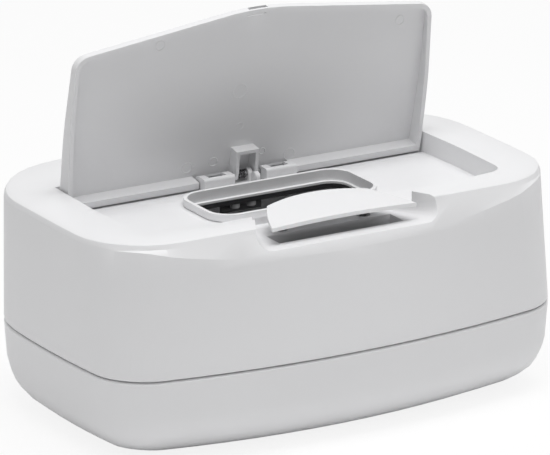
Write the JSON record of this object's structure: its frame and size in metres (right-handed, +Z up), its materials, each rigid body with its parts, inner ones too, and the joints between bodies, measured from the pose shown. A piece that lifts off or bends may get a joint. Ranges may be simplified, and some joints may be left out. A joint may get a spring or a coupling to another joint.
{
  "type": "baby wipes box",
  "caption": "Rounded two-part baby wipes box with a sprung hinged lid standing open, a raised collar round the wipes opening and a press tab over a finger scoop.",
  "frame": {"origin": "on the floor, below the middle of the box's bounding box", "axes": "+X to the right across the width, +Y from the front to the back, +Z up"},
  "size_m": [0.2448, 0.1692, 0.1828],
  "materials": {
    "shell_white": "satin",
    "tab_white": "satin",
    "dark_plastic": "matte",
    "steel": "bright",
    "soft_foot": "matte"
  },
  "bodies": {
    "base": {"base_tray": "shell_white", "foot_1": "soft_foot", "foot_2": "soft_foot", "foot_3": "soft_foot", "foot_4": "soft_foot"},
    "top": {"upper_shell": "shell_white", "opening_collar": "shell_white", "collar_retainer": "dark_plastic", "retainer_screw_1": "steel", "retainer_screw_2": "steel", "retainer_screw_3": "steel", "retainer_screw_4": "steel", "hinge_block_left": "shell_white", "hinge_block_right": "shell_white", "hinge_pin": "steel", "lid_spring": "steel", "tab_spring_left": "steel", "tab_spring_right": "steel"},
    "lid": {"lid_shell": "shell_white"},
    "tab": {"press_tab": "tab_white", "tab_clip_left": "steel", "tab_clip_right": "steel"}
  },
  "joints": [
    {"name": "top_lift_off", "type": "slide", "parent": "base", "child": "top", "axis": [0, 0, 1], "range_m": [0, 0.1]},
    {"name": "lid_hinge", "type": "hinge", "parent": "top", "child": "lid", "pos_m": [0, 0.021, 0.099], "axis": [1, 0, 0], "range_deg": [0, 78.5], "stiffness_Nm_per_rad": 0.02, "springref_deg": -68.75},
    {"name": "tab_press", "type": "slide", "parent": "top", "child": "tab", "axis": [0, 0, -1], "range_m": [0, 0.006], "deforming": ["tab_spring_left", "tab_spring_right"]}
  ],
  "couplings": [
    {"joint": "tab_press", "follows": "lid_hinge", "m_per_rad": 0.0043}
  ]
}
